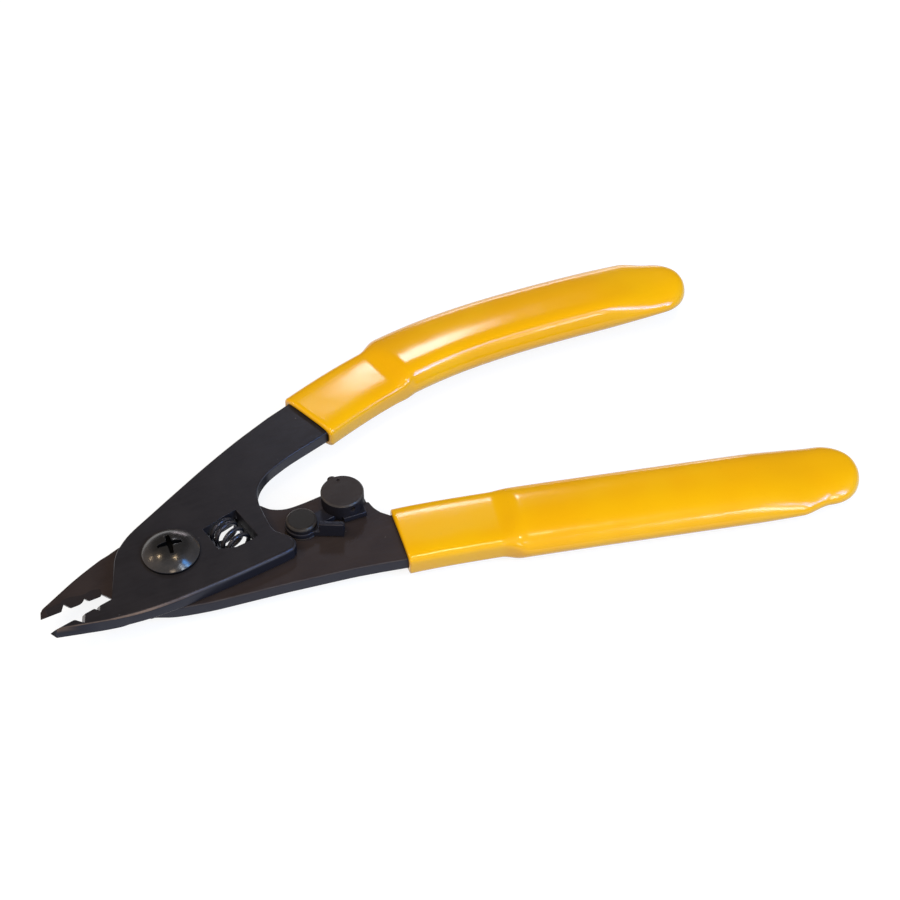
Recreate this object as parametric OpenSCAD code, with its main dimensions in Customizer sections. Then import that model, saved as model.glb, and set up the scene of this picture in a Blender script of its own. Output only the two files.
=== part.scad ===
// Fibre stripper: two crossed steel levers with notched jaws, a pivot screw, a return
// spring, a latch and padded vinyl grips. It lies flat with its jaws towards -X.
// The origin is on the pivot axis, in the plane that the tool rests on.

/* [Levers] */
// Thickness of each lever plate
plate_t = 2.4; // [2:0.1:2.8]
// Angle between the two handles with the tool open
handle_angle = 27.4; // [26:0.2:29]
// Width of the steel inside the grips
handle_w = 10; // [9:0.1:10.6]
// Pivot to the centre of the front handle's round end
front_reach = 105.5; // [98:0.5:112]
// Pivot to the centre of the rear handle's round end
rear_reach = 110.3; // [104:0.5:116]
// Radius of the boss that each lever has around the pivot
boss_r = 9.5; // [9:0.1:10]

/* [Jaws] */
// Pivot to the tip of each jaw
jaw_len = 22.7; // [21:0.1:26]
// Angle between the two cutting edges with the tool open
jaw_gape = 9.6; // [8:0.2:12]
// Width of the blunt end of each jaw
jaw_tip = 1.3; // [1:0.1:2.4]
// Distance of the front cutting edge below the pivot centre
front_edge = 0.9; // [0.6:0.05:1]
// Distance of the rear cutting edge below the pivot centre
rear_edge = 1.2; // [1.1:0.05:1.4]
// Width of the bevel ground on the front jaw
front_bevel = 1.7; // [1.2:0.1:2]
// Width of the bevel ground on the rear jaw
rear_bevel = 2.2; // [1.6:0.1:2.5]
// Included angle of the V notches
notch_angle = 64; // [60:2:90]
// Pivot to the jacket notch
jacket_r = 18.5; // [18:0.1:19]
// Distance from the jacket notch to the buffer notch
jacket_pitch = 3.3; // [3:0.1:3.6]
// Distance from the buffer notch to the fibre notch
buffer_pitch = 2.7; // [2.4:0.1:3]

/* [Pivot] */
// Diameter of the pivot screw's shank
screw_d = 4.8; // [4:0.1:5.2]
// Diameter of the pan head
head_d = 9.4; // [8:0.1:10]
// Height of the pan head
head_h = 2.5; // [2.2:0.1:3.2]
// Span of the cross recess
recess_span = 4; // [3.6:0.1:5]
// Width of the cross recess at its middle
recess_w = 1; // [0.8:0.1:1.4]
// Depth of the cross recess
recess_depth = 1.5; // [1:0.1:1.8]
// Nut across flats
nut_af = 8; // [7:0.1:9]
// Thickness of the washer under the nut
washer_t = 0.4; // [0.3:0.1:0.7]
// Diameter of the washer under the nut
washer_d = 9; // [8:0.1:10]

/* [Spring] */
// Wire diameter
wire_d = 0.8; // [0.6:0.05:0.9]
// Mean diameter of the coil
coil_d = 4.5; // [4:0.1:4.7]
// Length of the spring with the tool open
spring_len = 5.9; // [5.6:0.1:6.2]
// Number of open turns between the closed ends
open_turns = 2; // [1.5:0.5:2.5]
// Pivot to the spring's axis
spring_x = 9.95; // [9.6:0.05:10.2]
// Height of the front spring seat above the pivot centre
seat_y = 1.35; // [1:0.05:1.6]
// Tilt of the spring from square to the front lever
spring_lean = 4; // [0:1:6]
// Width of the spring window at its seat
window_w = 6.6; // [6.2:0.1:6.8]

/* [Latch] */
// Pivot to the latch rivet along the rear handle
rivet_x = 21.5; // [21:0.1:22]
// Offset of the latch rivet from the rear handle's axis
rivet_y = 3.6; // [3.2:0.1:4]
// Diameter of the rivet's shank
rivet_d = 2.6; // [2:0.1:3]
// Diameter of the rivet's flat head
rivet_head_d = 5.2; // [4.4:0.1:5.4]
// Height of the rivet's flat head
rivet_head_h = 1; // [0.8:0.1:1.4]
// Thickness of the latch sheet
latch_t = 1; // [0.8:0.1:1.2]
// Diameter of the latch around its rivet
hub_d = 5.6; // [5.2:0.1:6]
// Thickness of the latch's friction washer
friction_t = 0.3; // [0.2:0.05:0.5]
// Height of the latch's upright flange above the friction washer
flange_h = 2.8; // [2:0.1:3.2]
// Rivet to the end of the flange
strut_len = 7.1; // [6.6:0.1:7.2]
// Rivet to the centre of the thumb knob
knob_reach = 8.1; // [7.6:0.1:8.6]
// Direction of the knob from the rivet
knob_dir = 26; // [20:1:32]
// Diameter of the thumb knob
knob_d = 7.2; // [6.4:0.1:7.8]
// Height of the thumb knob
knob_h = 2.6; // [2.2:0.1:3]
// Diameter of the stud that holds the knob
stud_d = 2; // [1.6:0.1:2.6]

/* [Grips] */
// Thickness of the vinyl skin
skin_t = 1.1; // [0.9:0.05:1.3]
// Thickness of each grip over its padding
grip_t = 6.8; // [6.4:0.1:7.6]
// Width of the front grip over its padding
front_grip_w = 14.2; // [13.6:0.1:15]
// Width of the rear grip over its padding
rear_grip_w = 13.8; // [13.2:0.1:14.4]
// Step of the padding on the inner side of each grip
inner_step = 0.2; // [0.1:0.05:0.5]
// Length of the bare vinyl neck before the padding
neck_len = 16; // [14:0.5:19]
// Length of the slope where the padding starts
neck_slope = 4.5; // [3:0.5:7]
// Length of the slope where the padding ends
tip_slope = 3; // [2:0.5:5]
// End of the front padding to the centre of the handle's round end
front_tip_gap = 1; // [0:0.5:4]
// End of the rear padding to the centre of the handle's round end
rear_tip_gap = 3; // [0:0.5:4]

/* [Clearances] */
// Gap between the two levers
plate_gap = 0.05; // [0.03:0.01:0.1]
// Radial clearance of a hole that turns on its pin
run_gap = 0.05; // [0.03:0.01:0.09]
// Radial clearance of a hole that stays fixed on its pin
fit_gap = 0.02; // [0.01:0.01:0.04]

/* [Hidden] */
$fn = 64;
tiny = 0.01;

rear_z = (grip_t - plate_t) / 2;         // underside of the rear lever
rear_top = rear_z + plate_t;
front_z = rear_top + plate_gap;          // underside of the front lever
front_top = front_z + plate_t;
latch_z = rear_top + friction_t;         // underside of the latch sheet
latch_top = latch_z + latch_t;
nut_t = rear_z - washer_t;               // the nut ends in the plane of rest
rim_h = 0.5;                             // straight side of the pan head
recess_turn = -5;                        // direction of the recess
recess_end = 0.6;                        // width of the recess at the ends of its arms

coil_room = 1.3;                         // space beside the coil in the rear window
wire_slack = 0.04;                       // taken off the wire so that closed turns part
neck_shape = 5;                          // squareness of the grip sections
pad_shape = 3;
tip_steps = [0.15, 0.3, 0.45, 0.6, 0.75, 0.88, 0.95, 0.99];

rear_edge_angle = handle_angle - jaw_gape;
half_steel = handle_w / 2;
rivet = [rivet_x, rivet_y];
tail_h = 0.8;                            // height of the rivet's upset tail
tail_d = rivet_head_d - 1.2;
tail_taper = 0.7;
rivet_chamfer = 0.35;
arm_w = 2.6;                             // width of the latch arm
tab_w = 4;                               // width of the tab that shows beside the knob
tab_reach = 3.75;                        // knob's centre to the tab's free edge
tab_dir = 12;                            // direction of the tab's free edge
flange_dir = -12;                        // direction of the flange from the rivet
flange_x = 3.1;                          // rivet to the start of the flange
flange_y = -1.9;                         // outer face of the flange
foot_w = 2.2;                            // width of the foot below the flange
knob_chamfer = 0.25;
knob_roof = 0.8;                         // thickness of the knob over its stud
nub_dir = 114;                           // direction of the nub on the knob's rim
nub_d = 1.6;
nub_inset = 0.35;                        // nub's centre to the knob's rim
mark_dir = 98;                           // direction of the centre mark on the knob
mark_r = 2.5;                            // knob's centre to the mark
mark_d = 0.5;
grub_dir = -69;                          // direction of the hole in the knob's side
grub_z = 1.45;                           // height of that hole
grub_d = 0.9;
knob = rivet + knob_reach * [cos(knob_dir), sin(knob_dir)];
hump_rim = 0.4;                          // how far the rear lever shows round the knob

buffer_r = jacket_r - jacket_pitch;      // pivot to the buffer notch
fibre_r = buffer_r - buffer_pitch;       // pivot to the fibre notch
land = 0.1;                              // width of the flat left at a cutting edge
front_heel = fibre_r - 1.2;              // pivot to the inner end of the front edge
rear_heel = fibre_r - 0.35;              // pivot to the inner end of the rear edge
notch_lag = 0.5;                         // how much nearer the front jacket notch is
past_edge = 8;                           // how far the grinding reaches past an edge

// The notches from the tip inwards, each with its distance from the pivot, its depth and
// the radius of its shoulder
front_notches = [[jacket_r - notch_lag, 1.5, 0.6], [buffer_r - notch_lag / 2, 0.85, 0.3]];
rear_notches = [[jacket_r, 1.3, 0.1], [buffer_r, 0.9, 1.5], [fibre_r, 0.45, 0.3]];

// ---- Curves ----

// One point of a smooth curve between b and c
function blend_point(a, b, c, d, t) =
    0.5 * (2 * b + (c - a) * t + (2 * a - 5 * b + 4 * c - d) * t * t
           + (3 * b - a - 3 * c + d) * t * t * t);

// A smooth curve through the points p
function smooth(p, steps = 5) = let (last = len(p) - 1) [
    for (i = [0:last - 1], k = [0:steps - 1])
        blend_point(p[max(i - 1, 0)], p[i], p[i + 1], p[min(i + 2, last)], k / steps),
    p[last]
];

function arc(centre, r, from, to, steps = 12) =
    [for (k = [0:steps]) let (a = from + (to - from) * k / steps)
        centre + r * [cos(a), sin(a)]];

// Handle centrelines, as the four points of a cubic curve
front_line = [[34.5, 11.75], [57.3, 15.1], [front_reach - 36, 13.3], [front_reach, 1.3]];
rear_line = [[37, -1.1], [49, 0.4], [rear_reach - 22.4, 0], [rear_reach, 0.5]];

function line_point(c, t) =
    pow(1 - t, 3) * c[0] + 3 * t * pow(1 - t, 2) * c[1]
    + 3 * t * t * (1 - t) * c[2] + t * t * t * c[3];

function line_slope(c, t) =
    pow(1 - t, 2) * (c[1] - c[0]) + 2 * t * (1 - t) * (c[2] - c[1]) + t * t * (c[3] - c[2]);

function line_angle(c, t) = let (d = line_slope(c, t)) atan2(d[1], d[0]);

// One edge of a handle, side +1 to the left of the centreline
function handle_edge(c, side) = [for (k = [0:20]) let (t = k / 20, a = line_angle(c, t))
    line_point(c, t) + side * half_steel * [-sin(a), cos(a)]];

// The steel of a handle from the sleeve's mouth round its end and back, right edge first
function handle_outline(c) = let (left = handle_edge(c, 1), end = line_angle(c, 1)) concat(
    handle_edge(c, -1),
    arc(c[3], half_steel, end - 80, end + 80),
    [for (k = [20:-1:0]) left[k]]);

// ---- Lever outlines, each in the frame of its own lever ----

front_right = smooth([[0.4 - jaw_len, -front_edge - jaw_tip], [-20, -3.3],
    [-15, -5.75], [-10, -7.6], [-5, -boss_r + 0.7], [0, -boss_r - 0.1], [5, -boss_r - 0.8],
    [10, -10.85], [14.5, -11.3]]);
front_nose = arc([15.5, -9.4], 2, -75, 5, 8);
front_crotch = smooth([[17, -8.1], [16.1, -6.6], [15.9, -5], [16.5, -2], [17.2, 0.6],
    [18.7, 3.2], [21.6, 5], [26, 6], [30, 6.4]]);
front_left = smooth([[29, 16.1], [21.8, 14.7], [14.5, 12.9], [7.2, 10.8],
    [1.5, boss_r - 0.4], [-3.3, 7.6], [-6.2, 6], [-7.8, 4.5], [-9.15, 2.6],
    [-front_heel, -front_edge]]);

module front_outline() {
    polygon(concat([[-jaw_len, -front_edge]], front_right, front_nose, front_crotch,
        handle_outline(front_line), front_left));
}

// A point along the rear cutting edge, at a distance from the pivot
function rear_edge_point(r, below = 0) = let (a = rear_edge_angle) [
    -r * cos(a) + (rear_edge + below) * sin(a),
    -r * sin(a) - (rear_edge + below) * cos(a)
];

rear_right = smooth([[-9.6, -6.9], [-8.2, -7.9], [-5.8, -boss_r + 0.8],
    [-3.1, -boss_r + 0.3], [0, -boss_r - 0.1], [5, -boss_r + 0.1], [10, -8.8],
    [18, -7.7], [28, -6.6], [33, -6.25]]);
rear_left = smooth([[34.8, 4.9], [33.8, 6.1], [33.1, 7.6]]);
rear_hump = arc(knob, knob_d / 2 + hump_rim, 5, 115, 10);
rear_crotch = smooth([[25.2, 10.2], [22, 9.05], [19.2, 8.4], [16.8, 8.8], [14.6, 10.2],
    [11, 10.9], [6, 10.2], [0, boss_r - 0.8], [-5, 6.8], [-8.5, 4.8], [-12.4, 1.9],
    [-16, -1.15], [-19.3, -4.4]]);

module rear_outline() {
    polygon(concat([rear_edge_point(fibre_r)], rear_right, handle_outline(rear_line),
        rear_left, rear_hump, rear_crotch,
        [rear_edge_point(jaw_len - 0.95, -jaw_tip - 0.6),
         rear_edge_point(jaw_len - 0.4, -jaw_tip), rear_edge_point(jaw_len)]));
}

// ---- Cuts ----

// Points of a V notch in a cutting edge on y = 0, with a rounded shoulder on the side of
// the jaw's tip. The apex lies at the given depth behind the edge.
function notch(r, depth, shoulder) = let (
    slope = tan(notch_angle / 2), wall = 90 - notch_angle / 2,
    start = -r - slope * depth - shoulder * tan(wall / 2))
    concat(arc([start, shoulder], shoulder, -90, wall - 90, 5),
        [[-r, depth], [slope * depth - r, 0]]);

// Grinds the bevel with its notches: from the cutting edge on y = 0 in the inner face,
// z = plate_t, out to y = run at z = 0. Its inner end leans like the side of a notch.
module grind(notches, heel, run) {
    tilt = atan(run / plate_t);
    profile = concat([[-jaw_len - 2, -past_edge], [-jaw_len - 2, 0]],
        [for (n = notches) each notch(n[0], n[1], n[2])],
        [[-heel, 0], [past_edge * tan(notch_angle / 2) - heel, -past_edge]]);
    translate([0, 0, plate_t - land]) rotate([tilt, 0, 0])
        linear_extrude(10 * plate_t, center = true)
            polygon([for (p = profile) [p[0], p[1] * cos(tilt)]]);
}

// Space on the jaw's side of the front lever's left edge, for the mirrored front lever
module ahead_of_heel() {
    lean = tan(notch_angle / 2);
    translate([0, 0, -1]) linear_extrude(plate_t + 2)
        polygon([[-jaw_len - 2, -past_edge], [past_edge * lean - front_heel, -past_edge],
            [-front_heel - past_edge * lean, past_edge], [-jaw_len - 2, past_edge]]);
}

// Frame of the spring: origin at the middle of the front seat, -Y along the spring
module at_spring() {
    in_front() translate([spring_x, seat_y]) rotate(spring_lean) children();
}

// Window of the front lever: its upper edge is the front spring seat
module front_window() {
    half = window_w / 2;
    polygon([[-half, 0], [half, 0], [half - 0.6, -spring_len - 1.1],
        [1, -spring_len - 1.1], [-1.4, -spring_len - 0.7], [-half - 0.5, 0.8 - spring_len]]);
}

// Window of the rear lever: its lower edge is the rear spring seat
module rear_window() {
    half = coil_d / 2 + coil_room;
    translate([-half, -spring_len - fit_gap]) square([2 * half, spring_len + 1]);
}

// ---- Placing ----

module in_front() {
    rotate(handle_angle / 2) children();
}

module in_rear() {
    rotate(-handle_angle / 2) children();
}

// ---- Levers ----

module front_plate() {
    in_front() translate([0, 0, front_z]) linear_extrude(plate_t) front_outline();
}

module rear_plate() {
    in_rear() translate([0, 0, rear_z]) linear_extrude(plate_t) rear_outline();
}

module front_lever() {
    color([0.17, 0.16, 0.16]) difference() {
        front_plate();
        cylinder(h = 3 * grip_t, r = screw_d / 2 + run_gap);
        translate([0, 0, front_z - tiny]) linear_extrude(plate_t + 2 * tiny)
            at_spring() front_window();
        in_front() translate([0, -front_edge, front_top]) rotate([180, 0, 0])
            intersection() {
                grind(front_notches, front_heel - front_bevel, front_bevel);
                ahead_of_heel();
            }
    }
}

module rear_lever() {
    color([0.22, 0.18, 0.165]) difference() {
        rear_plate();
        cylinder(h = 3 * grip_t, r = screw_d / 2 + fit_gap);
        in_rear() translate(rivet) cylinder(h = 3 * grip_t, r = rivet_d / 2 + fit_gap);
        translate([0, 0, rear_z - tiny]) linear_extrude(plate_t + 2 * tiny)
            at_spring() rear_window();
        in_rear() rotate(rear_edge_angle) translate([0, -rear_edge, rear_z])
            grind(rear_notches, rear_heel, rear_bevel);
    }
}

// ---- Grips ----

function ramp(s, from, to) = let (u = min(max((s - from) / (to - from), 0), 1))
    u * u * (3 - 2 * u);

// Change from the neck's form to the padding's at a distance x along the lever
function swell(c, x) = let (start = c[0][0] + neck_len) ramp(x, start, start + neck_slope);

// How full a grip is: 0 on the neck, 1 on the padding, 0 again at the tip
function fullness(c, x, tip_gap) = let (end = c[3][0] - tip_gap)
    swell(c, x) * (1 - ramp(x, end - tip_slope, end));

// Closed ring of a superellipse in the plane across the handle, wider on one side
function ring(place, angle, right, left, up, shape) = [for (k = [0:23]) let (
    a = k * 15, ca = cos(a), sa = sin(a),
    y = (ca < 0 ? -right : left) * pow(abs(ca), 2 / shape),
    z = sign(sa) * up * pow(abs(sa), 2 / shape))
    [place[0] - y * sin(angle), place[1] + y * cos(angle), z]];

// Solid through a list of rings
module loft(rings) {
    n = len(rings[0]);
    last = len(rings) - 1;
    polyhedron(
        points = [for (r = rings, p = r) p],
        faces = concat(
            [[for (k = [0:n - 1]) k]],
            [[for (k = [n - 1:-1:0]) last * n + k]],
            [for (i = [0:last - 1], k = [0:n - 1]) let (j = (k + 1) % n)
                [i * n + k, (i + 1) * n + k, (i + 1) * n + j]],
            [for (i = [0:last - 1], k = [0:n - 1]) let (j = (k + 1) % n)
                [i * n + k, (i + 1) * n + j, i * n + j]]));
}

// Each grip as [handle centreline, side of the outer edge, width, gap at its tip]
front_grip = [front_line, 1, front_grip_w, front_tip_gap];
rear_grip = [rear_line, -1, rear_grip_w, rear_tip_gap];

// Ring of a grip's form around a place on its centreline. core is half the width and
// rise half the thickness on the neck, and step is what the padding adds on the inner side.
function grip_ring(grip, place, angle, core, rise, step) = let (
    f = fullness(grip[0], place[0], grip[3]),
    outer = core + (grip[2] - handle_w - 2 * skin_t - inner_step) * f,
    inner = core + step * f,
    up = rise + (grip_t - plate_t - 2 * skin_t) / 2 * f)
    ring(place, angle, grip[1] > 0 ? inner : outer, grip[1] > 0 ? outer : inner, up,
        neck_shape + (pad_shape - neck_shape) * swell(grip[0], place[0]));

// Outer form of the skin, which closes round the end of the handle
module grip_form(grip) {
    line = grip[0];
    end = line_angle(line, 1);
    core = half_steel + skin_t;
    rise = plate_t / 2 + skin_t;
    loft(concat(
        [for (k = [0:40]) let (t = k / 40)
            grip_ring(grip, line_point(line, t), line_angle(line, t), core, rise,
                inner_step)],
        [for (d = tip_steps)
            grip_ring(grip, line[3] + d * core * [cos(end), sin(end)], end,
                core * sqrt(1 - d * d), rise * sqrt(1 - pow(d, 4)), inner_step)]));
}

// Form of the padding inside the skin. It stops short of the steel's inner edge, where
// the skin lies on the steel.
module padding_form(grip) {
    line = grip[0];
    loft([for (k = [0:60]) let (t = k / 60, place = line_point(line, t))
        if (fullness(line, place[0], grip[3]) > 0.15)
            grip_ring(grip, place, line_angle(line, t), half_steel, plate_t / 2,
                -skin_t)]);
}

module front_grip_cushion() {
    color([0.86, 0.62, 0.1]) difference() {
        in_front() translate([0, 0, front_z + plate_t / 2])
            padding_form(front_grip);
        front_plate();
    }
}

module rear_grip_cushion() {
    color([0.86, 0.62, 0.1]) difference() {
        in_rear() translate([0, 0, rear_z + plate_t / 2])
            padding_form(rear_grip);
        rear_plate();
    }
}

module front_grip_skin() {
    color([0.96, 0.76, 0.02]) difference() {
        in_front() translate([0, 0, front_z + plate_t / 2]) {
            difference() {
                grip_form(front_grip);
                padding_form(front_grip);
            }
        }
        front_plate();
    }
}

module rear_grip_skin() {
    color([0.96, 0.76, 0.02]) difference() {
        in_rear() translate([0, 0, rear_z + plate_t / 2]) {
            difference() {
                grip_form(rear_grip);
                padding_form(rear_grip);
            }
        }
        rear_plate();
    }
}

// ---- Pivot ----

module pivot_screw() {
    dome_h = head_h - rim_h;
    crown = (head_d * head_d / 4 + dome_h * dome_h) / (2 * dome_h);
    color([0.34, 0.33, 0.33]) difference() {
        union() {
            cylinder(h = front_top + tiny, d = screw_d);
            translate([0, 0, front_top]) intersection() {
                cylinder(h = head_h, d = head_d);
                translate([0, 0, head_h - crown]) sphere(r = crown, $fn = 128);
            }
        }
        translate([0, 0, front_top + head_h - recess_depth]) linear_extrude(head_h)
            for (a = [0, 90]) rotate(a + recess_turn) polygon([
                for (side = [-1, 1]) each [
                    [-side * recess_span / 2, side * recess_end / 2],
                    [0, side * recess_w / 2],
                    [side * recess_span / 2, side * recess_end / 2]]]);
    }
}

module pivot_washer() {
    color([0.5, 0.5, 0.5]) translate([0, 0, nut_t]) difference() {
        cylinder(h = washer_t, d = washer_d);
        cylinder(h = 3 * washer_t, r = screw_d / 2 + fit_gap, center = true);
    }
}

module pivot_nut() {
    color([0.3, 0.3, 0.31]) difference() {
        cylinder(h = nut_t, d = nut_af / cos(30), $fn = 6);
        cylinder(h = 3 * nut_t, r = screw_d / 2 + fit_gap, center = true);
    }
}

// ---- Return spring ----

// Height of the wire's centre after a number of turns, with one closed turn at each end
function coil_height(turn) = let (
    pitch = (spring_len - 3 * wire_d) / open_turns,
    closed = wire_d,
    past = min(max(turn - 1, 0), open_turns))
    wire_d / 2 + closed * min(turn, 1) + pitch * past
    + closed * max(turn - 1 - open_turns, 0);

module return_spring() {
    turns = open_turns + 2;
    steps = 22;
    sides = 10;
    r_wire = (wire_d - wire_slack) / 2;
    rings = [for (i = [0:turns * steps]) let (turn = i / steps, a = 360 * turn)
        [for (k = [0:sides - 1]) let (b = 360 * k / sides,
            r = coil_d / 2 + r_wire * cos(b))
            [r * cos(a), r * sin(a), coil_height(turn) + r_wire * sin(b)]]];
    color([0.2, 0.21, 0.24]) translate([0, 0, front_z - plate_gap / 2]) at_spring()
        rotate([90, 0, 0]) loft([for (i = [len(rings) - 1:-1:0]) rings[i]]);
}

// ---- Latch ----

module at_rivet() {
    in_rear() translate(rivet) children();
}

module latch_washer() {
    color([0.45, 0.4, 0.3]) translate([0, 0, rear_top]) at_rivet() difference() {
        cylinder(h = friction_t, d = hub_d);
        cylinder(h = 3 * friction_t, r = rivet_d / 2 + fit_gap, center = true);
    }
}

module latch_rivet() {
    straight = rivet_head_h - rivet_chamfer;
    color([0.3, 0.29, 0.28]) at_rivet() {
        translate([0, 0, rear_z - tail_h])
            cylinder(h = tail_h + latch_top - rear_z + tiny, d = rivet_d);
        translate([0, 0, rear_z - tail_h])
            cylinder(h = tail_h, d1 = tail_d - tail_taper, d2 = tail_d);
        translate([0, 0, latch_top]) cylinder(h = straight, d = rivet_head_d);
        translate([0, 0, latch_top + straight])
            cylinder(h = rivet_chamfer, d1 = rivet_head_d,
                d2 = rivet_head_d - 2 * rivet_chamfer);
    }
}

// Outline of the latch sheet around the rivet at the origin: a disc under the knob with
// its tab, the arm that carries it, and a foot whose edge is bent up as the flange
module latch_sheet() {
    circle(d = hub_d);
    rotate(knob_dir) translate([0, -0.75 * arm_w]) square([knob_reach, arm_w]);
    translate(knob - rivet) {
        circle(d = knob_d - 0.4);
        rotate(tab_dir) translate([-0.28 * tab_w, -tab_reach]) square([tab_w, tab_reach]);
    }
    rotate(flange_dir) translate([0, flange_y]) square([strut_len, foot_w]);
}

module latch_lever() {
    color([0.16, 0.16, 0.18]) at_rivet() difference() {
        union() {
            translate([0, 0, latch_z]) linear_extrude(latch_t) latch_sheet();
            translate([0, 0, latch_z]) rotate(flange_dir)
                translate([flange_x, flange_y, 0])
                    cube([strut_len - flange_x, 0.9 * latch_t, flange_h]);
        }
        cylinder(h = 3 * grip_t, r = rivet_d / 2 + run_gap);
        translate(knob - rivet) cylinder(h = 3 * grip_t, r = stud_d / 2 + fit_gap);
    }
}

// Round thumb knob with a small nub on its rim, a blind hole for its stud, a centre mark
// on its top and a grub hole in its side
module latch_knob() {
    side_h = knob_h - knob_chamfer;
    color([0.24, 0.2, 0.2]) in_rear() translate([knob[0], knob[1], latch_top]) difference() {
        union() {
            cylinder(h = side_h, d = knob_d);
            translate([0, 0, side_h])
                cylinder(h = knob_chamfer, d1 = knob_d, d2 = knob_d - 2 * knob_chamfer);
            rotate(nub_dir) translate([knob_d / 2 - nub_inset, 0, 0])
                cylinder(h = side_h, d = nub_d);
        }
        translate([0, 0, -tiny]) cylinder(h = knob_h - knob_roof, r = stud_d / 2 + fit_gap);
        rotate(mark_dir) translate([mark_r, 0, knob_h - mark_d / 2]) cylinder(h = 1, d = mark_d);
        rotate(grub_dir) translate([knob_d / 2 - grub_d, 0, grub_z]) rotate([0, 90, 0])
            cylinder(h = 2 * grub_d, d = grub_d);
    }
}

module knob_stud() {
    color([0.4, 0.4, 0.4]) in_rear() translate([knob[0], knob[1], latch_z])
        cylinder(h = latch_t + knob_h - knob_roof - 0.1, d = stud_d);
}

front_lever();
rear_lever();
front_grip_cushion();
rear_grip_cushion();
front_grip_skin();
rear_grip_skin();
pivot_screw();
pivot_washer();
pivot_nut();
return_spring();
latch_washer();
latch_lever();
latch_rivet();
latch_knob();
knob_stud();
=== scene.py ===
import math

import bmesh
import bpy
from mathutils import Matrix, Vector


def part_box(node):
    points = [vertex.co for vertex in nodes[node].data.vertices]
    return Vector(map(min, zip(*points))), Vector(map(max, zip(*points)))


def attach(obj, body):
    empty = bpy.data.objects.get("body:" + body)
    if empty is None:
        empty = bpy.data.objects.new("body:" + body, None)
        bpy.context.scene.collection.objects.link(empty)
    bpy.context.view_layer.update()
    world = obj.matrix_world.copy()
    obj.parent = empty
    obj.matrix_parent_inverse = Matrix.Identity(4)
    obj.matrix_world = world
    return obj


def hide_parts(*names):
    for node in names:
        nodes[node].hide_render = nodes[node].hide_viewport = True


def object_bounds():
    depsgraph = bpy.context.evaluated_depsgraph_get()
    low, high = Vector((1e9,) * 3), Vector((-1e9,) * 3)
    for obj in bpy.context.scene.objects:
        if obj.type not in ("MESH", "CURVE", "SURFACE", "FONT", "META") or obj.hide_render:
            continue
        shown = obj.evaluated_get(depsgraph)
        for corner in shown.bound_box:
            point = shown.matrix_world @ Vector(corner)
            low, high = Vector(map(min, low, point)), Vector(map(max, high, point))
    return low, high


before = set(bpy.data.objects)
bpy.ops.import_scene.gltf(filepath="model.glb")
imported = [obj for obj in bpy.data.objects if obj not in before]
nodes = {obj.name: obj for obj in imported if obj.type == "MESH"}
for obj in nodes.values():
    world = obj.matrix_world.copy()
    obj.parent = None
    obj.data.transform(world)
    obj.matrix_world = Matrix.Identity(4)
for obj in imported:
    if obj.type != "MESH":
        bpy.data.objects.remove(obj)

# Fibre stripper: bevelled steel levers, dipped vinyl grips, pivot, spring and latch.
# The scene is in metres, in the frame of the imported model. Lengths in the dictionaries are
# in millimetres, angles in degrees, and colours are linear.

mm = 0.001
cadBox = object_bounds()
print("frame loaded:", len(nodes), "nodes")

handles = {
    "spread": 27.4,          # angle between the two levers at rest
    "steelWidth": 10.0,      # of the steel inside the grips
}
leverTurn = handles["spread"] / 2


# Turns a bmesh into a piece that rides a body and replaces nodes
def finishPiece(name, bm, material, body, hides, sharp=None):
    mesh = bpy.data.meshes.new(name)
    bm.to_mesh(mesh)
    bm.free()
    piece = bpy.data.objects.new(name, mesh)
    bpy.context.scene.collection.objects.link(piece)
    mesh.materials.append(material)
    if sharp:
        mesh.shade_smooth()
        mesh.set_sharp_from_angle(angle=math.radians(sharp))
    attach(piece, body)
    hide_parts(*hides)
    return piece


def turned(point, angle):
    c, s = math.cos(math.radians(angle)), math.sin(math.radians(angle))
    return Vector((point[0] * c - point[1] * s, point[0] * s + point[1] * c))


# Rises smoothly from 0 at low to 1 at high
def ramp(x, low, high):
    u = min(max((x - low) / (high - low), 0.0), 1.0)
    return u * u * (3 - 2 * u)


# A point of the curve whose four control points are line
def linePoint(line, t):
    weights = ((1 - t) ** 3, 3 * t * (1 - t) ** 2, 3 * t * t * (1 - t), t ** 3)
    return Vector((sum(w * p[0] for w, p in zip(weights, line)),
                   sum(w * p[1] for w, p in zip(weights, line))))


def lineAngle(line, t):
    step = linePoint(line, min(t + 0.001, 1.0)) - linePoint(line, max(t - 0.001, 0.0))
    return math.atan2(step.y, step.x)


# Shader helpers: they add nodes to a material, and most give back what the nodes put out
def newMaterial(name):
    material = bpy.data.materials.new(name)
    material.use_nodes = True
    tree = material.node_tree
    shader = tree.nodes["Principled BSDF"]
    where = tree.nodes.new("ShaderNodeTexCoord")
    return material, tree, shader, where


def addNoise(tree, where, scale, detail=3.0, rough=0.5, stretch=None, turn=0.0):
    texture = tree.nodes.new("ShaderNodeTexNoise")
    texture.inputs["Scale"].default_value = scale
    texture.inputs["Detail"].default_value = detail
    texture.inputs["Roughness"].default_value = rough
    if stretch:
        mapping = tree.nodes.new("ShaderNodeMapping")
        mapping.inputs["Scale"].default_value = stretch
        mapping.inputs["Rotation"].default_value = (0, 0, math.radians(turn))
        tree.links.new(where.outputs["Object"], mapping.inputs["Vector"])
        tree.links.new(mapping.outputs["Vector"], texture.inputs["Vector"])
    else:
        tree.links.new(where.outputs["Object"], texture.inputs["Vector"])
    return texture.outputs["Fac"]


def addRange(tree, value, low, high, toLow, toHigh):
    node = tree.nodes.new("ShaderNodeMapRange")
    node.interpolation_type = "SMOOTHSTEP"
    for socket, number in (("From Min", low), ("From Max", high),
                           ("To Min", toLow), ("To Max", toHigh)):
        node.inputs[socket].default_value = number
    tree.links.new(value, node.inputs["Value"])
    return node.outputs["Result"]


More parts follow.
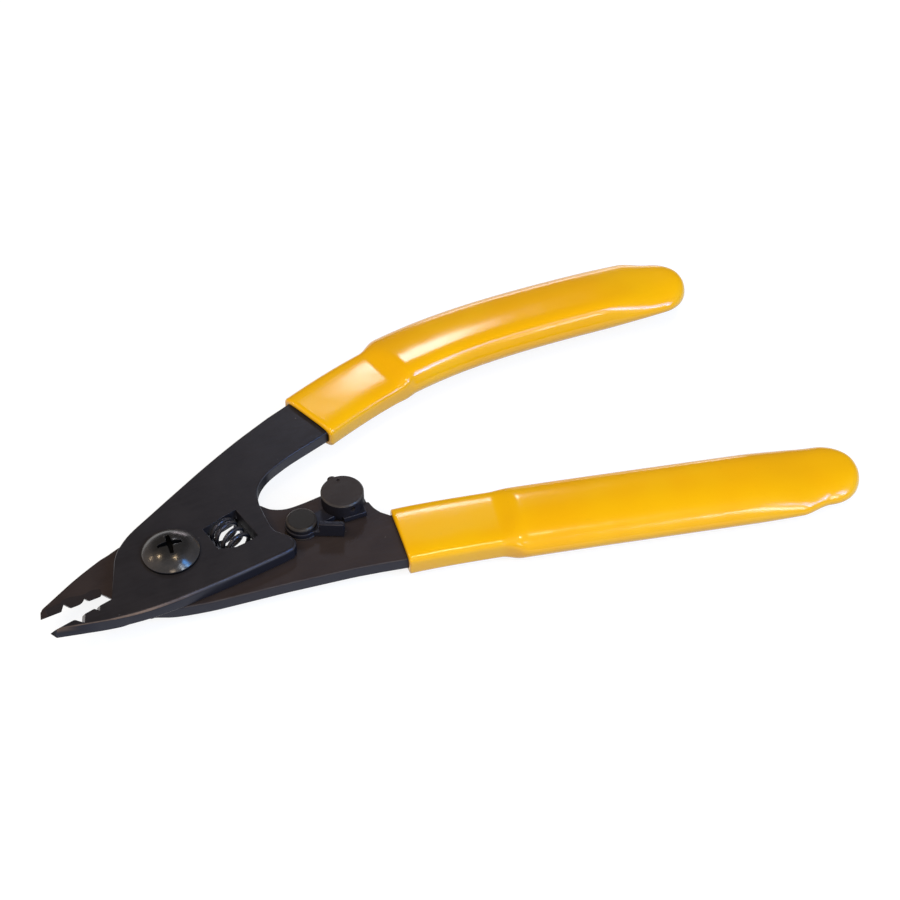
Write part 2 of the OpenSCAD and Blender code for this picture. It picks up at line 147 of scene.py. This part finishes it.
def addMix(tree, factor, first, second):
    node = tree.nodes.new("ShaderNodeMix")
    node.data_type = "RGBA"
    tree.links.new(factor, node.inputs["Factor"])
    for socket, value in (("A", first), ("B", second)):
        target = [s for s in node.inputs if s.name == socket and s.type == "RGBA"][0]
        if isinstance(value, tuple):
            target.default_value = (*value, 1)
        else:
            tree.links.new(value, target)
    return [s for s in node.outputs if s.type == "RGBA"][0]


def addMath(tree, kind, first, second=0):
    node = tree.nodes.new("ShaderNodeMath")
    node.operation = kind
    for socket, value in zip(node.inputs, (first, second)):
        if isinstance(value, (int, float)):
            socket.default_value = value
        else:
            tree.links.new(value, socket)
    return node.outputs[0]


def addSplit(tree, vector):
    node = tree.nodes.new("ShaderNodeSeparateXYZ")
    tree.links.new(vector, node.inputs[0])
    return node.outputs


def addBump(tree, shader, height, distance, strength):
    bump = tree.nodes.new("ShaderNodeBump")
    bump.inputs["Distance"].default_value = distance
    bump.inputs["Strength"].default_value = strength
    tree.links.new(height, bump.inputs["Height"])
    tree.links.new(bump.outputs["Normal"], shader.inputs["Normal"])


# A glossy yellow with soft clouds and a slightly wavy skin
vinylLook = {
    "deep": (0.84, 0.40, 0.0), "light": (0.86, 0.44, 0.0), "fleck": (0.74, 0.37, 0.0),
    "clouds": 60, "flecks": 900, "waves": 180,      # scales of the patterns
    "waveHeight": 0.12, "waveStrength": 0.5,
    "rough": (0.15, 0.2), "gloss": 0.45, "coat": 0.25, "coatRough": 0.08,
}


def vinylMaterial(look):
    material, tree, shader, where = newMaterial("dippedVinyl")
    cloud = addNoise(tree, where, look["clouds"], 2.0)
    fleck = addNoise(tree, where, look["flecks"], 3.0)
    tone = addMix(tree, addRange(tree, cloud, 0.35, 0.65, 0, 1), look["deep"], look["light"])
    tone = addMix(tree, addRange(tree, fleck, 0.66, 0.75, 0, 0.25), tone, look["fleck"])
    tree.links.new(tone, shader.inputs["Base Color"])
    tree.links.new(addRange(tree, cloud, 0.3, 0.7, *look["rough"]), shader.inputs["Roughness"])
    shader.inputs["Specular IOR Level"].default_value = look["gloss"]
    shader.inputs["Coat Weight"].default_value = look["coat"]
    shader.inputs["Coat Roughness"].default_value = look["coatRough"]
    wave = addNoise(tree, where, look["waves"], 1.0)
    addBump(tree, shader, wave, look["waveHeight"] * mm, look["waveStrength"])
    return material


# What all the metals share
steelLook = {
    "clouds": 180, "grain": 1500, "dust": 1300,     # scales of the patterns
    "grainStretch": (0.25, 1.6, 1.0),
    "reliefHeight": 0.04,
    "dustTone": (0.12, 0.11, 0.1),
    "edgeWearAndHighlight": (0.05, 0.042, 0.036),                   # tone of the rounded edges
    "wall": (0.0105, 0.0105, 0.015),                # painted shade with a painted blue reflection, on the sheared sides
    "mattGloss": 0.01,
    "jawAlong": (4, -6), "jawAcross": (-3, -6),     # where the painted highlight on the jaw's rounded edges fades in, in X and Y
}


def steelMaterial(name, base, light, rough, turn=0, gloss=0.5, relief=0.5, tint=(1, 1, 1),
                  edgeWearAndHighlight=steelLook["edgeWearAndHighlight"], jawEdgeHighlight=None, ground=None, hollow=None):
    look = steelLook
    material, tree, shader, where = newMaterial(name)
    cloud = addNoise(tree, where, look["clouds"], 4.0, 0.6)
    grain = addNoise(tree, where, look["grain"], 3.0, 0.6, look["grainStretch"], turn)
    dust = addNoise(tree, where, look["dust"], 1.0, 0.4)
    tone = addMix(tree, addRange(tree, cloud, 0.3, 0.7, 0, 1), base, light)
    tone = addMix(tree, addRange(tree, grain, 0.4, 0.65, 0, 0.9 * relief), tone, light)
    tone = addMix(tree, addRange(tree, dust, 0.79, 0.82, 0, 0.5), tone, look["dustTone"])

    # the rounded edges are worn a little lighter than the faces beside them; where a jaw
    # highlight tone is given, they carry that painted highlight on the jaw instead
    facing = addSplit(tree, where.outputs["Normal"])
    upright = addMath(tree, "ABSOLUTE", facing["Z"])
    edge = addMath(tree, "MULTIPLY", addRange(tree, upright, 0.2, 0.45, 0, 1),
                   addRange(tree, upright, 0.93, 0.8, 0, 1))
    wearAndHighlightShare = addMath(tree, "MULTIPLY", edge, addRange(tree, cloud, 0.3, 0.7, 0.35, 0.95))
    # a painted highlight takes over the worn tone on the jaw's rounded edges
    if jawEdgeHighlight:
        spot = addSplit(tree, where.outputs["Object"])
        (x0, x1), (y0, y1) = look["jawAlong"], look["jawAcross"]
        jawHighlightShare = addMath(tree, "MULTIPLY", addRange(tree, spot["X"], x0 * mm, x1 * mm, 0, 1),
                        addRange(tree, spot["Y"], y0 * mm, y1 * mm, 0, 1))
        edgeWearAndHighlight = addMix(tree, jawHighlightShare, edgeWearAndHighlight, jawEdgeHighlight)
    tone = addMix(tree, wearAndHighlightShare, tone, edgeWearAndHighlight)

    # sheared sides get a darker, bluer painted tone, painted shade with a painted blue
    # reflection, and are matt where they face along X
    wall = addRange(tree, upright, 0.4, 0.15, 0, 1)
    tone = addMix(tree, addMath(tree, "MULTIPLY", wall, 0.85), tone, look["wall"])
    across = addRange(tree, addMath(tree, "ABSOLUTE", facing["X"]), 0.4, 0.62, 0, 1)
    matt = addMath(tree, "MULTIPLY", wall, across)
    shine = addRange(tree, matt, 0, 1, gloss, look["mattGloss"])

    height = addMath(tree, "ADD", addMath(tree, "MULTIPLY", grain, 0.6), cloud)
    if ground:
        # the ground facets get a darker painted tone, painted shade, and their fall tilts the
        # bump
        inside, fall = groundFacets(tree, where, facing["Z"], ground)
        tone = addMix(tree, inside, tone, ground["tone"])
        height = addMath(tree, "ADD", height, fall)
    # painted shade inside the screw's cross recess
    if hollow:
        centre = (0, 0, (hollow["domeTop"] - hollow["domeRadius"]) * mm)
        rim = (hollow["domeRadius"] - hollow["below"]) * mm
        away = tree.nodes.new("ShaderNodeVectorMath")
        away.operation = "DISTANCE"
        away.inputs[1].default_value = centre
        tree.links.new(where.outputs["Object"], away.inputs[0])
        recessShade = addRange(tree, away.outputs["Value"], rim, rim - hollow["blend"] * mm, 0, 1)
        recessShade = addMath(tree, "MULTIPLY", recessShade, hollow["share"])
        tone = addMix(tree, recessShade, tone, hollow["tone"])
        shine = addRange(tree, recessShade, 0, 1, gloss, hollow["gloss"])

    tree.links.new(tone, shader.inputs["Base Color"])
    tree.links.new(shine, shader.inputs["Specular IOR Level"])
    shader.inputs["Metallic"].default_value = 0.0
    shader.inputs["Specular Tint"].default_value = (*tint, 1)
    tree.links.new(addRange(tree, grain, 0.3, 0.7, rough - 0.05, rough + 0.06),
                   shader.inputs["Roughness"])
    addBump(tree, shader, height, look["reliefHeight"] * mm, relief)
    return material


# Facets ground along a cutting edge, on faces that look up: their mask and their fall. Their
# own X runs along the edge, with the tip at its low end, and Y leads away from the edge.
def groundFacets(tree, where, upward, spec):
    place = tree.nodes.new("ShaderNodeMapping")
    place.vector_type = "TEXTURE"
    place.inputs["Rotation"].default_value = (0, 0, math.radians(spec["turn"]))
    place.inputs["Scale"].default_value = (mm, mm, mm)
    tree.links.new(where.outputs["Object"], place.inputs["Vector"])
    spot = addSplit(tree, place.outputs["Vector"])
    along, away = spot["X"], addMath(tree, "SUBTRACT", spot["Y"], spec["edge"])
    low, high = spec["reach"][0][0], spec["reach"][-1][0]
    curve = tree.nodes.new("ShaderNodeFloatCurve")
    line = curve.mapping.curves[0]
    line.points[0].location = (0, spec["reach"][0][1] / spec["mostReach"])
    line.points[1].location = (1, spec["reach"][-1][1] / spec["mostReach"])
    for x, y in spec["reach"][1:-1]:
        line.points.new((x - low) / (high - low), y / spec["mostReach"])
    for point in line.points:
        point.handle_type = "VECTOR"
    curve.mapping.update()
    share = addMath(tree, "DIVIDE", addMath(tree, "SUBTRACT", along, low), high - low)
    tree.links.new(share, curve.inputs["Value"])
    reach = addMath(tree, "MULTIPLY", curve.outputs["Value"], spec["mostReach"])
    depth = addMath(tree, "SUBTRACT", reach, away)
    inside = addMath(tree, "MULTIPLY", addRange(tree, depth, -0.05, 0.1, 0, 1),
                     addRange(tree, upward, 0.7, 0.9, 0, 1))
    for start, end in ((low - 0.1, low + 0.1), (high + 0.1, high - 0.1)):
        inside = addMath(tree, "MULTIPLY", inside, addRange(tree, along, start, end, 0, 1))
    fall = addMath(tree, "MULTIPLY", addMath(tree, "MULTIPLY", inside, depth), -spec["fall"])
    return inside, fall


rearFacets = {
    "turn": 4.1,               # of the facets' own X
    "edge": -1.2,              # the cutting edge's place along their Y
    "fall": 6.0,               # how steeply they fall towards the edge
    # painted shade: a darker tone on the ground facets
    "tone": (0.0205, 0.0158, 0.0138),
    "mostReach": 2.0,          # longer reaches are cut to this
    # place along the edge, and how far the ground band reaches behind it
    "reach": [(-21.4, 1.6), (-18.9, 1.75), (-18.3, 2.2), (-17.1, 2.2), (-15.8, 1.8),
              (-14.8, 1.65), (-13.65, 1.95), (-12.3, 1.5)],
}

# The cross recess lies inside the ball that the pan head's crown is part of. Below that ball it
# gets painted shade, a near-black tone, and little gloss
screwRecess = {
    "domeRadius": 6.5225, "domeTop": 9.55,
    "below": 0.05, "blend": 0.15,                   # how deep the painted shade begins, and over what depth it darkens
    "share": 0.95, "tone": (0.003, 0.003, 0.003), "gloss": 0.1,
}

blued = (0.66, 0.72, 1.0)           # tint of reflections on the levers, latch and spring
steelKinds = {
    "frontBlackSteel": {
        "base": (0.0152, 0.0127, 0.0118), "light": (0.0205, 0.0172, 0.0158), "rough": 0.34,
        "turn": leverTurn, "gloss": 0.3, "tint": blued, "edgeWearAndHighlight": (0.05, 0.048, 0.055),
        # bright painted highlight on the rounded edges of the jaw
        "jawEdgeHighlight": (0.17, 0.115, 0.08),
    },
    "rearBlackSteel": {
        "base": (0.0255, 0.0175, 0.0142), "light": (0.0325, 0.0225, 0.0178), "rough": 0.38,
        "turn": -leverTurn, "gloss": 0.3, "tint": blued, "ground": rearFacets,
    },
    "screwSteel": {
        "base": (0.0125, 0.0112, 0.01), "light": (0.016, 0.0143, 0.0125), "rough": 0.2,
        "gloss": 0.6, "hollow": screwRecess, "relief": 0.3,
    },
    "nutSteel": {
        "base": (0.02, 0.018, 0.017), "light": (0.028, 0.025, 0.023), "rough": 0.3,
    },
    "latchSteel": {
        "base": (0.011, 0.0105, 0.013), "light": (0.017, 0.0155, 0.018), "rough": 0.34,
        "turn": -leverTurn, "gloss": 0.4, "tint": blued, "relief": 0.2,
    },
    "knobSteel": {
        "base": (0.0215, 0.0155, 0.0142), "light": (0.0275, 0.02, 0.0175), "rough": 0.36,
        "turn": 20, "gloss": 0.3, "relief": 0.3,
    },
    "rivetSteel": {
        "base": (0.0155, 0.013, 0.0112), "light": (0.018, 0.015, 0.013), "rough": 0.34,
        "turn": 50, "gloss": 0.3, "relief": 0.1,
    },
    "springSteel": {
        "base": (0.009, 0.0095, 0.014), "light": (0.016, 0.017, 0.024), "rough": 0.2,
        "tint": blued,
    },
    "platedSteel": {
        "base": (0.3, 0.3, 0.31), "light": (0.42, 0.42, 0.43), "rough": 0.32,
    },
    "bronzeWasher": {
        "base": (0.045, 0.03, 0.018), "light": (0.07, 0.045, 0.026), "rough": 0.34,
    },
}

vinyl = vinylMaterial(vinylLook)
steels = {name: steelMaterial(name, **kind) for name, kind in steelKinds.items()}
print("materials made")


edgeRules = {
    "weld": 0.002,            # vertices closer than this are one
    "flat": 1.0,              # faces that turn by less are joined
    "rounded": 35,            # edges that turn by more are rounded
    "keptSharp": 42,          # what turns by more and is not rounded shades sharp
    "faceWeight": 60,         # how far the larger faces decide the shading
}


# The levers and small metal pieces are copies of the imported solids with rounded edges
def mergedCopy(node):
    bm = bmesh.new()
    bm.from_mesh(nodes[node].data)
    bmesh.ops.remove_doubles(bm, verts=bm.verts, dist=edgeRules["weld"] * mm)
    bmesh.ops.dissolve_limit(bm, angle_limit=math.radians(edgeRules["flat"]), verts=bm.verts,
                             edges=bm.edges)
    return bm


def sharpEdges(bm, angle):
    return [e for e in bm.edges if len(e.link_faces) == 2
            and e.calc_face_angle(0) > math.radians(angle)]


def weighNormals(piece):
    weigh = piece.modifiers.new("weigh", "WEIGHTED_NORMAL")
    weigh.keep_sharp = True
    weigh.weight = edgeRules["faceWeight"]


def dressedCopy(node, body, slotName, steel, width, segments):
    bm = mergedCopy(node)
    if width:
        bmesh.ops.bevel(bm, geom=sharpEdges(bm, edgeRules["rounded"]), offset=width * mm,
                        offset_type="OFFSET", segments=segments, profile=0.5,
                        affect="EDGES", material=-1, clamp_overlap=True)
    piece = finishPiece(node + "_dressed", bm, steels[steel], body, [node],
                        sharp=edgeRules["keptSharp"])
    weighNormals(piece)


plates = {
    "edge": 0.28,             # rounding of the levers' edges
    "windowEdge": 0.1,        # the same around the spring's window
    "nearEdge": 0.6,          # the same on the front lever's top edge towards -Y
    "jawEdge": 0.16,          # the same along its jaw
    "segments": 4,
    "heel": -9.5,             # along X: beyond it the jaws' cutting edges stay sharp
    "nearSide": -4.4,         # along Y: the edge towards -Y lies beyond it
    "jawBack": -6.9,          # the same at the jaw
    "jawStart": -12.5,        # along X: there the rounding is halfway between the two
    "jawBlend": 4,            # how far to each side of that it changes
}


# The top edge of the front lever on the side that faces -Y, its jaw's back included
def nearTopEdges(bm):
    top = max(v.co.z for v in bm.verts)
    chosen = []
    for e in sharpEdges(bm, edgeRules["rounded"]):
        x, y = min(v.co.x for v in e.verts), max(v.co.y for v in e.verts)
        limit = plates["nearSide"] if x > plates["heel"] * mm else plates["jawBack"]
        if min(v.co.z for v in e.verts) > top - 0.01 * mm and y < limit * mm:
            chosen.append(e)
    return chosen


# Bevel weights are shares of the widest rounding
def dressedLever(node, body, steel, roundNear):
    bm = mergedCopy(node)
    widest = plates["nearEdge"]
    weight = bm.edges.layers.float.new("bevel_weight_edge")
    low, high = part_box("return_spring")
    for e in sharpEdges(bm, edgeRules["rounded"]):
        x, y = ((e.verts[0].co + e.verts[1].co) / 2).xy
        if x > plates["heel"] * mm:
            window = low.x - mm < x < high.x + mm and low.y - mm < y < high.y + mm
            e[weight] = plates["windowEdge" if window else "edge"] / widest
    if roundNear:
        start, blend = plates["jawStart"], plates["jawBlend"]
        for e in nearTopEdges(bm):
            share = ramp(min(v.co.x for v in e.verts) / mm, start - blend, start + blend)
            width = plates["jawEdge"] + (widest - plates["jawEdge"]) * share
            e[weight] = width / widest
    for e in sharpEdges(bm, edgeRules["keptSharp"]):
        e.smooth = e[weight] > 0
    for face in bm.faces:
        face.smooth = True
    piece = finishPiece(node + "_dressed", bm, steels[steel], body, [node])
    soften = piece.modifiers.new("soften", "BEVEL")
    soften.limit_method = "WEIGHT"
    soften.width, soften.segments, soften.profile = widest * mm, plates["segments"], 0.5
    soften.use_clamp_overlap = False
    weighNormals(piece)


dressedLever("rear_lever", "rear", "rearBlackSteel", False)
dressedLever("front_lever", "front", "frontBlackSteel", True)

smallPieces = [
    # node, body, slot, steel, rounding of its edges, segments of the rounding
    ("pivot_screw", "rear", "dark_screw", "screwSteel", 0.14, 3),
    ("pivot_washer", "rear", "plated_washer", "platedSteel", 0.08, 2),
    ("pivot_nut", "rear", "dark_nut", "nutSteel", 0.2, 2),
    ("latch_washer", "rear", "bronze_washer", "bronzeWasher", 0.05, 2),
    ("latch_rivet", "rear", "dark_rivet", "rivetSteel", 0.14, 3),
    ("latch_lever", "latch", "black_latch", "latchSteel", 0.12, 2),
    ("latch_knob", "latch", "black_knob", "knobSteel", 0.1, 2),
    ("knob_stud", "latch", "plated_washer", "platedSteel", 0.05, 2),
    ("return_spring", "front", "spring_wire", "springSteel", 0, 0),
]
for row in smallPieces:
    dressedCopy(*row)
print("metal pieces made")


# Dipped vinyl grips: one skin over the neck, the padding and the rounded tip. Each follows
# its lever's centre line, from the open end of the grip to the end of the steel.
grips = {
    "front": {
        "line": [(34.5, 11.75), (57.3, 15.1), (69.5, 13.3), (105.5, 1.3)],
        "side": 1, "turn": leverTurn,  # the padding is wider on the side away from the other
        "width": 14.2,
        "square": (2.6, 2.05),         # squareness of the padding, +Y half and -Y half
        "crown": -2.3,                 # how far its crest leans across, on the upper side
        "tipGap": 1.0,                 # from the end of the padding to the end of the steel
        "lever": "front_lever",
        "hides": ["front_grip_skin", "front_grip_cushion"],
    },
    "rear": {
        "line": [(37.0, -1.1), (49.0, 0.4), (87.9, 0.0), (110.3, 0.5)],
        "side": -1, "turn": -leverTurn, "width": 13.8, "square": (3.0, 2.05),
        "crown": 0.0, "tipGap": 3.0,
        "lever": "rear_lever",
        "hides": ["rear_grip_skin", "rear_grip_cushion"],
    },
}

gripForm = {
    "skin": 1.1, "plate": 2.4, "thickness": 6.8,
    "innerStep": 0.2,              # how far the padding stands out on its narrow side
    "neck": 16.0, "neckSlope": 4.5,
    "neckSquare": (4.6, 4.6),      # squareness of the neck, +Y half and -Y half
    "tipSlope": 3.0, "tipLength": 5.5,
    "topSlope": 11.0,              # the padding thins out more slowly than it narrows
    "topEnd": 2,                   # and goes on thinning this far beyond its end
    "lipEnd": 0.007,               # where the rounded lip ends, as a share of the line
    "tipRound": 2.6,               # how blunt the tip is, seen from the side
    "crownFall": 3,                # how soon the crest's lean fades down the sides
    "weld": 0.004,                 # vertices closer than this are one
    "keptSharp": 80,               # edges that turn by more shade sharp
    "around": 72, "along": 150, "tipRows": 24,
}


# The half widths, the half thickness, the squareness and the crest's lean at x
def gripSection(spec, x):
    form, line = gripForm, spec["line"]
    start, end = line[0][0] + form["neck"], line[3][0] - spec["tipGap"]
    swell = ramp(x, start, start + form["neckSlope"])
    tip = end - form["tipSlope"]
    full = swell * (1 - ramp(x, tip, tip + form["tipLength"]))
    core = handles["steelWidth"] / 2 + form["skin"]
    outer = core + (spec["width"] - 2 * core - form["innerStep"]) * full
    inner = core + form["innerStep"] * full
    halves = (outer, inner) if spec["side"] > 0 else (inner, outer)
    up = form["plate"] / 2 + form["skin"]
    thick = swell * (1 - ramp(x, end - form["topSlope"], end + form["topEnd"]))
    up += (form["thickness"] / 2 - up) * thick
    square = [a + (b - a) * swell for a, b in zip(form["neckSquare"], spec["square"])]
    return halves, up, square, spec["crown"] * thick


# Rows along the grip: place, direction, size, and how far the surface lies inside the skin
def gripRows(spec):
    line, skin, lipEnd = spec["line"], gripForm["skin"], gripForm["lipEnd"]
    core = handles["steelWidth"] / 2 + skin
    lip = [(0.03, skin - 0.02), (0.008, skin - 0.03), (0.001, skin * 0.72), (0.0, skin * 0.5),
           (0.001, skin * 0.28), (0.003, skin * 0.1), (lipEnd, 0.0)]
    rows = [(linePoint(line, t), lineAngle(line, t), 1.0, inset) for t, inset in lip]
    count = gripForm["along"]
    for k in range(1, count + 1):
        t = lipEnd + (1 - lipEnd) * k / count
        rows.append((linePoint(line, t), lineAngle(line, t), 1.0, 0.0))
    angle, count = lineAngle(line, 1.0), gripForm["tipRows"]
    for k in range(1, count + 1):
        d = math.sin(math.pi / 2 * k / count)
        place = linePoint(line, 1.0) + d * core * Vector((math.cos(angle), math.sin(angle)))
        rows.append((place, angle, math.sqrt(max(1 - d * d, 0.0)), 0.0))
    return rows


def buildGrip(body):
    spec = grips[body]
    low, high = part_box(spec["lever"])
    middle = (low.z + high.z) / 2
    rows, around = gripRows(spec), gripForm["around"]
    bm = bmesh.new()
    bmesh.ops.create_grid(bm, x_segments=len(rows) - 1, y_segments=around, size=0.5)
    for v in bm.verts:
        place, angle, shrink, inset = rows[round((v.co.x + 0.5) * (len(rows) - 1))]
        a = 2 * math.pi * round((v.co.y + 0.5) * around) / around
        halves, up, square, crown = gripSection(spec, place.x)
        ca, sa = math.cos(a), math.sin(a)
        half = halves[0] - inset if ca > 0 else inset - halves[1]
        power = 2 / (square[0] if ca > 0 else square[1])
        y = half * abs(ca) ** power * shrink
        z = math.copysign((up - inset) * abs(sa) ** power, sa)
        y += crown * max(z / up, 0) ** gripForm["crownFall"]
        z *= 1 - (1 - shrink) ** gripForm["tipRound"]
        flat = turned((place.x - y * math.sin(angle), place.y + y * math.cos(angle)),
                      spec["turn"])
        v.co = Vector((flat.x * mm, flat.y * mm, middle + z * mm))
    bmesh.ops.remove_doubles(bm, verts=bm.verts, dist=gripForm["weld"] * mm)
    bmesh.ops.recalc_face_normals(bm, faces=bm.faces)
    finishPiece(body + "Grip", bm, vinyl, body, spec["hides"],
                sharp=gripForm["keptSharp"])


for body in grips:
    buildGrip(body)
print("grips made")


camera = {
    "place": (-30.79, -180.47, 218.07), "pitch": 43.5, "turn": -23.88,
    "lens": 68.4, "sensor": 36,
}

eye = bpy.data.cameras.new("camera")
eye.lens, eye.sensor_width = camera["lens"], camera["sensor"]
eye.clip_start, eye.clip_end = 0.01, 20
eyeObject = bpy.data.objects.new("camera", eye)
eyeObject.location = Vector(camera["place"]) * mm
eyeObject.rotation_euler = (math.radians(camera["pitch"]), 0, math.radians(camera["turn"]))
bpy.context.scene.collection.objects.link(eyeObject)
bpy.context.scene.camera = eyeObject

floorLook = {
    "tone": (0.2, 0.2, 0.2), "rough": 0.9, "gloss": 0.1,
    "glow": 0.86,                # it shows as nearly white and still takes the shadow
    "halfSide": 4000, "below": 0.02,
}

floorMaterial, tree, shader, where = newMaterial("paleFloor")
shader.inputs["Base Color"].default_value = (*floorLook["tone"], 1)
shader.inputs["Roughness"].default_value = floorLook["rough"]
shader.inputs["Specular IOR Level"].default_value = floorLook["gloss"]
path = tree.nodes.new("ShaderNodeLightPath")
seen = addMath(tree, "MAXIMUM", path.outputs["Is Camera Ray"], path.outputs["Is Glossy Ray"])
seen = addMath(tree, "MAXIMUM", seen, path.outputs["Is Transmission Ray"])
glow = addMath(tree, "MULTIPLY", seen, floorLook["glow"])
shader.inputs["Emission Color"].default_value = (1, 1, 1, 1)
tree.links.new(glow, shader.inputs["Emission Strength"])
floorMesh = bpy.data.meshes.new("floor")
bm = bmesh.new()
bmesh.ops.create_grid(bm, x_segments=1, y_segments=1, size=floorLook["halfSide"] * mm)
bmesh.ops.translate(bm, verts=bm.verts, vec=(0, 0, cadBox[0][2] - floorLook["below"] * mm))
bm.to_mesh(floorMesh)
bm.free()
floor = bpy.data.objects.new("floor", floorMesh)
floorMesh.materials.append(floorMaterial)
bpy.context.scene.collection.objects.link(floor)

lamps = [
    # name, azimuth from +Y towards +X, elevation, then distance, width and height in metres,
    # radiance and colour
    ("skylight", 21, 41, 1.2, 0.11, 0.12, 16.0, (0.88, 0.92, 1.0)),
    ("blueWindow", 137, 41, 1.3, 0.24, 0.70, 13.0, (0.07, 0.37, 1.0)),
    ("brightPane", 141, 36, 1.25, 0.12, 0.30, 11.0, (0.5, 0.78, 1.0)),
    ("paleWindow", 161, 40, 1.3, 0.13, 0.60, 15.0, (0.78, 0.88, 1.0)),
    ("warmWall", 198, 38, 1.3, 0.3, 0.3, 6.0, (1.0, 0.78, 0.56)),
    ("farWall", 24, 4, 1.5, 0.5, 0.12, 5.0, (1.0, 0.88, 0.93)),
    ("lampLeft", -70, 55, 1.2, 0.06, 0.06, 130.0, (1.0, 0.74, 0.45)),
    ("lampOver", 158, 77, 1.2, 0.055, 0.055, 150.0, (1.0, 0.74, 0.45)),
    ("lampLow", -63, 32, 1.2, 0.042, 0.042, 120.0, (1.0, 0.74, 0.45)),
    ("nearFill", 175, 14, 1.3, 1.6, 0.5, 1.4, (0.95, 1.0, 0.96)),
]
unseen = ["nearFill"]            # it lights the sides but shows in no highlight
aim = Vector((50, 0, 4)) * mm    # the lamps stand around this and face it

for name, azimuth, elevation, distance, width, height, radiance, colour in lamps:
    lamp = bpy.data.lights.new(name, "AREA")
    lamp.shape, lamp.size, lamp.size_y = "RECTANGLE", width, height
    lamp.energy = radiance * math.pi * width * height
    lamp.color = colour
    az, el = math.radians(azimuth), math.radians(elevation)
    direction = Vector((math.sin(az) * math.cos(el), math.cos(az) * math.cos(el), math.sin(el)))
    holder = bpy.data.objects.new(name, lamp)
    holder.location = aim + direction * distance
    holder.visible_glossy = name not in unseen
    holder.rotation_euler = direction.to_track_quat("Z", "Y").to_euler()
    bpy.context.scene.collection.objects.link(holder)

ceiling = {
    "strength": 1.35, "angle": 50, "colour": (1.0, 0.93, 0.84),
    "from": (-0.35, -0.25, 0.9),     # the side that its light comes from
}
sun = bpy.data.lights.new("ceiling", "SUN")
sun.energy, sun.angle = ceiling["strength"], math.radians(ceiling["angle"])
sun.color = ceiling["colour"]
sunHolder = bpy.data.objects.new("ceiling", sun)
sunHolder.visible_glossy = False
sunHolder.rotation_euler = Vector(ceiling["from"]).to_track_quat("Z", "Y").to_euler()
bpy.context.scene.collection.objects.link(sunHolder)

room = {
    "walls": (0.3, 0.31, 0.34), "darkCorner": (0.09, 0.085, 0.085),
    "corner": (0.277, 0.626, 0.729),     # the side that the dark corner is on
    "cornerEdge": (0.3, 0.9),            # cosines between which it darkens
}
world = bpy.data.worlds.new("room")
bpy.context.scene.world = world
world.use_nodes = True
tree = world.node_tree
background = tree.nodes["Background"]
where = tree.nodes.new("ShaderNodeTexCoord")
dot = tree.nodes.new("ShaderNodeVectorMath")
dot.operation = "DOT_PRODUCT"
dot.inputs[1].default_value = room["corner"]
tree.links.new(where.outputs["Generated"], dot.inputs[0])
away = addRange(tree, dot.outputs["Value"], *room["cornerEdge"], 1.0, 0.0)
colour = addMix(tree, away, room["darkCorner"], room["walls"])
tree.links.new(colour, background.inputs["Color"])
background.inputs["Strength"].default_value = 1.0

bpy.context.scene.view_settings.view_transform = "Standard"
print("stage, lamps and camera made")
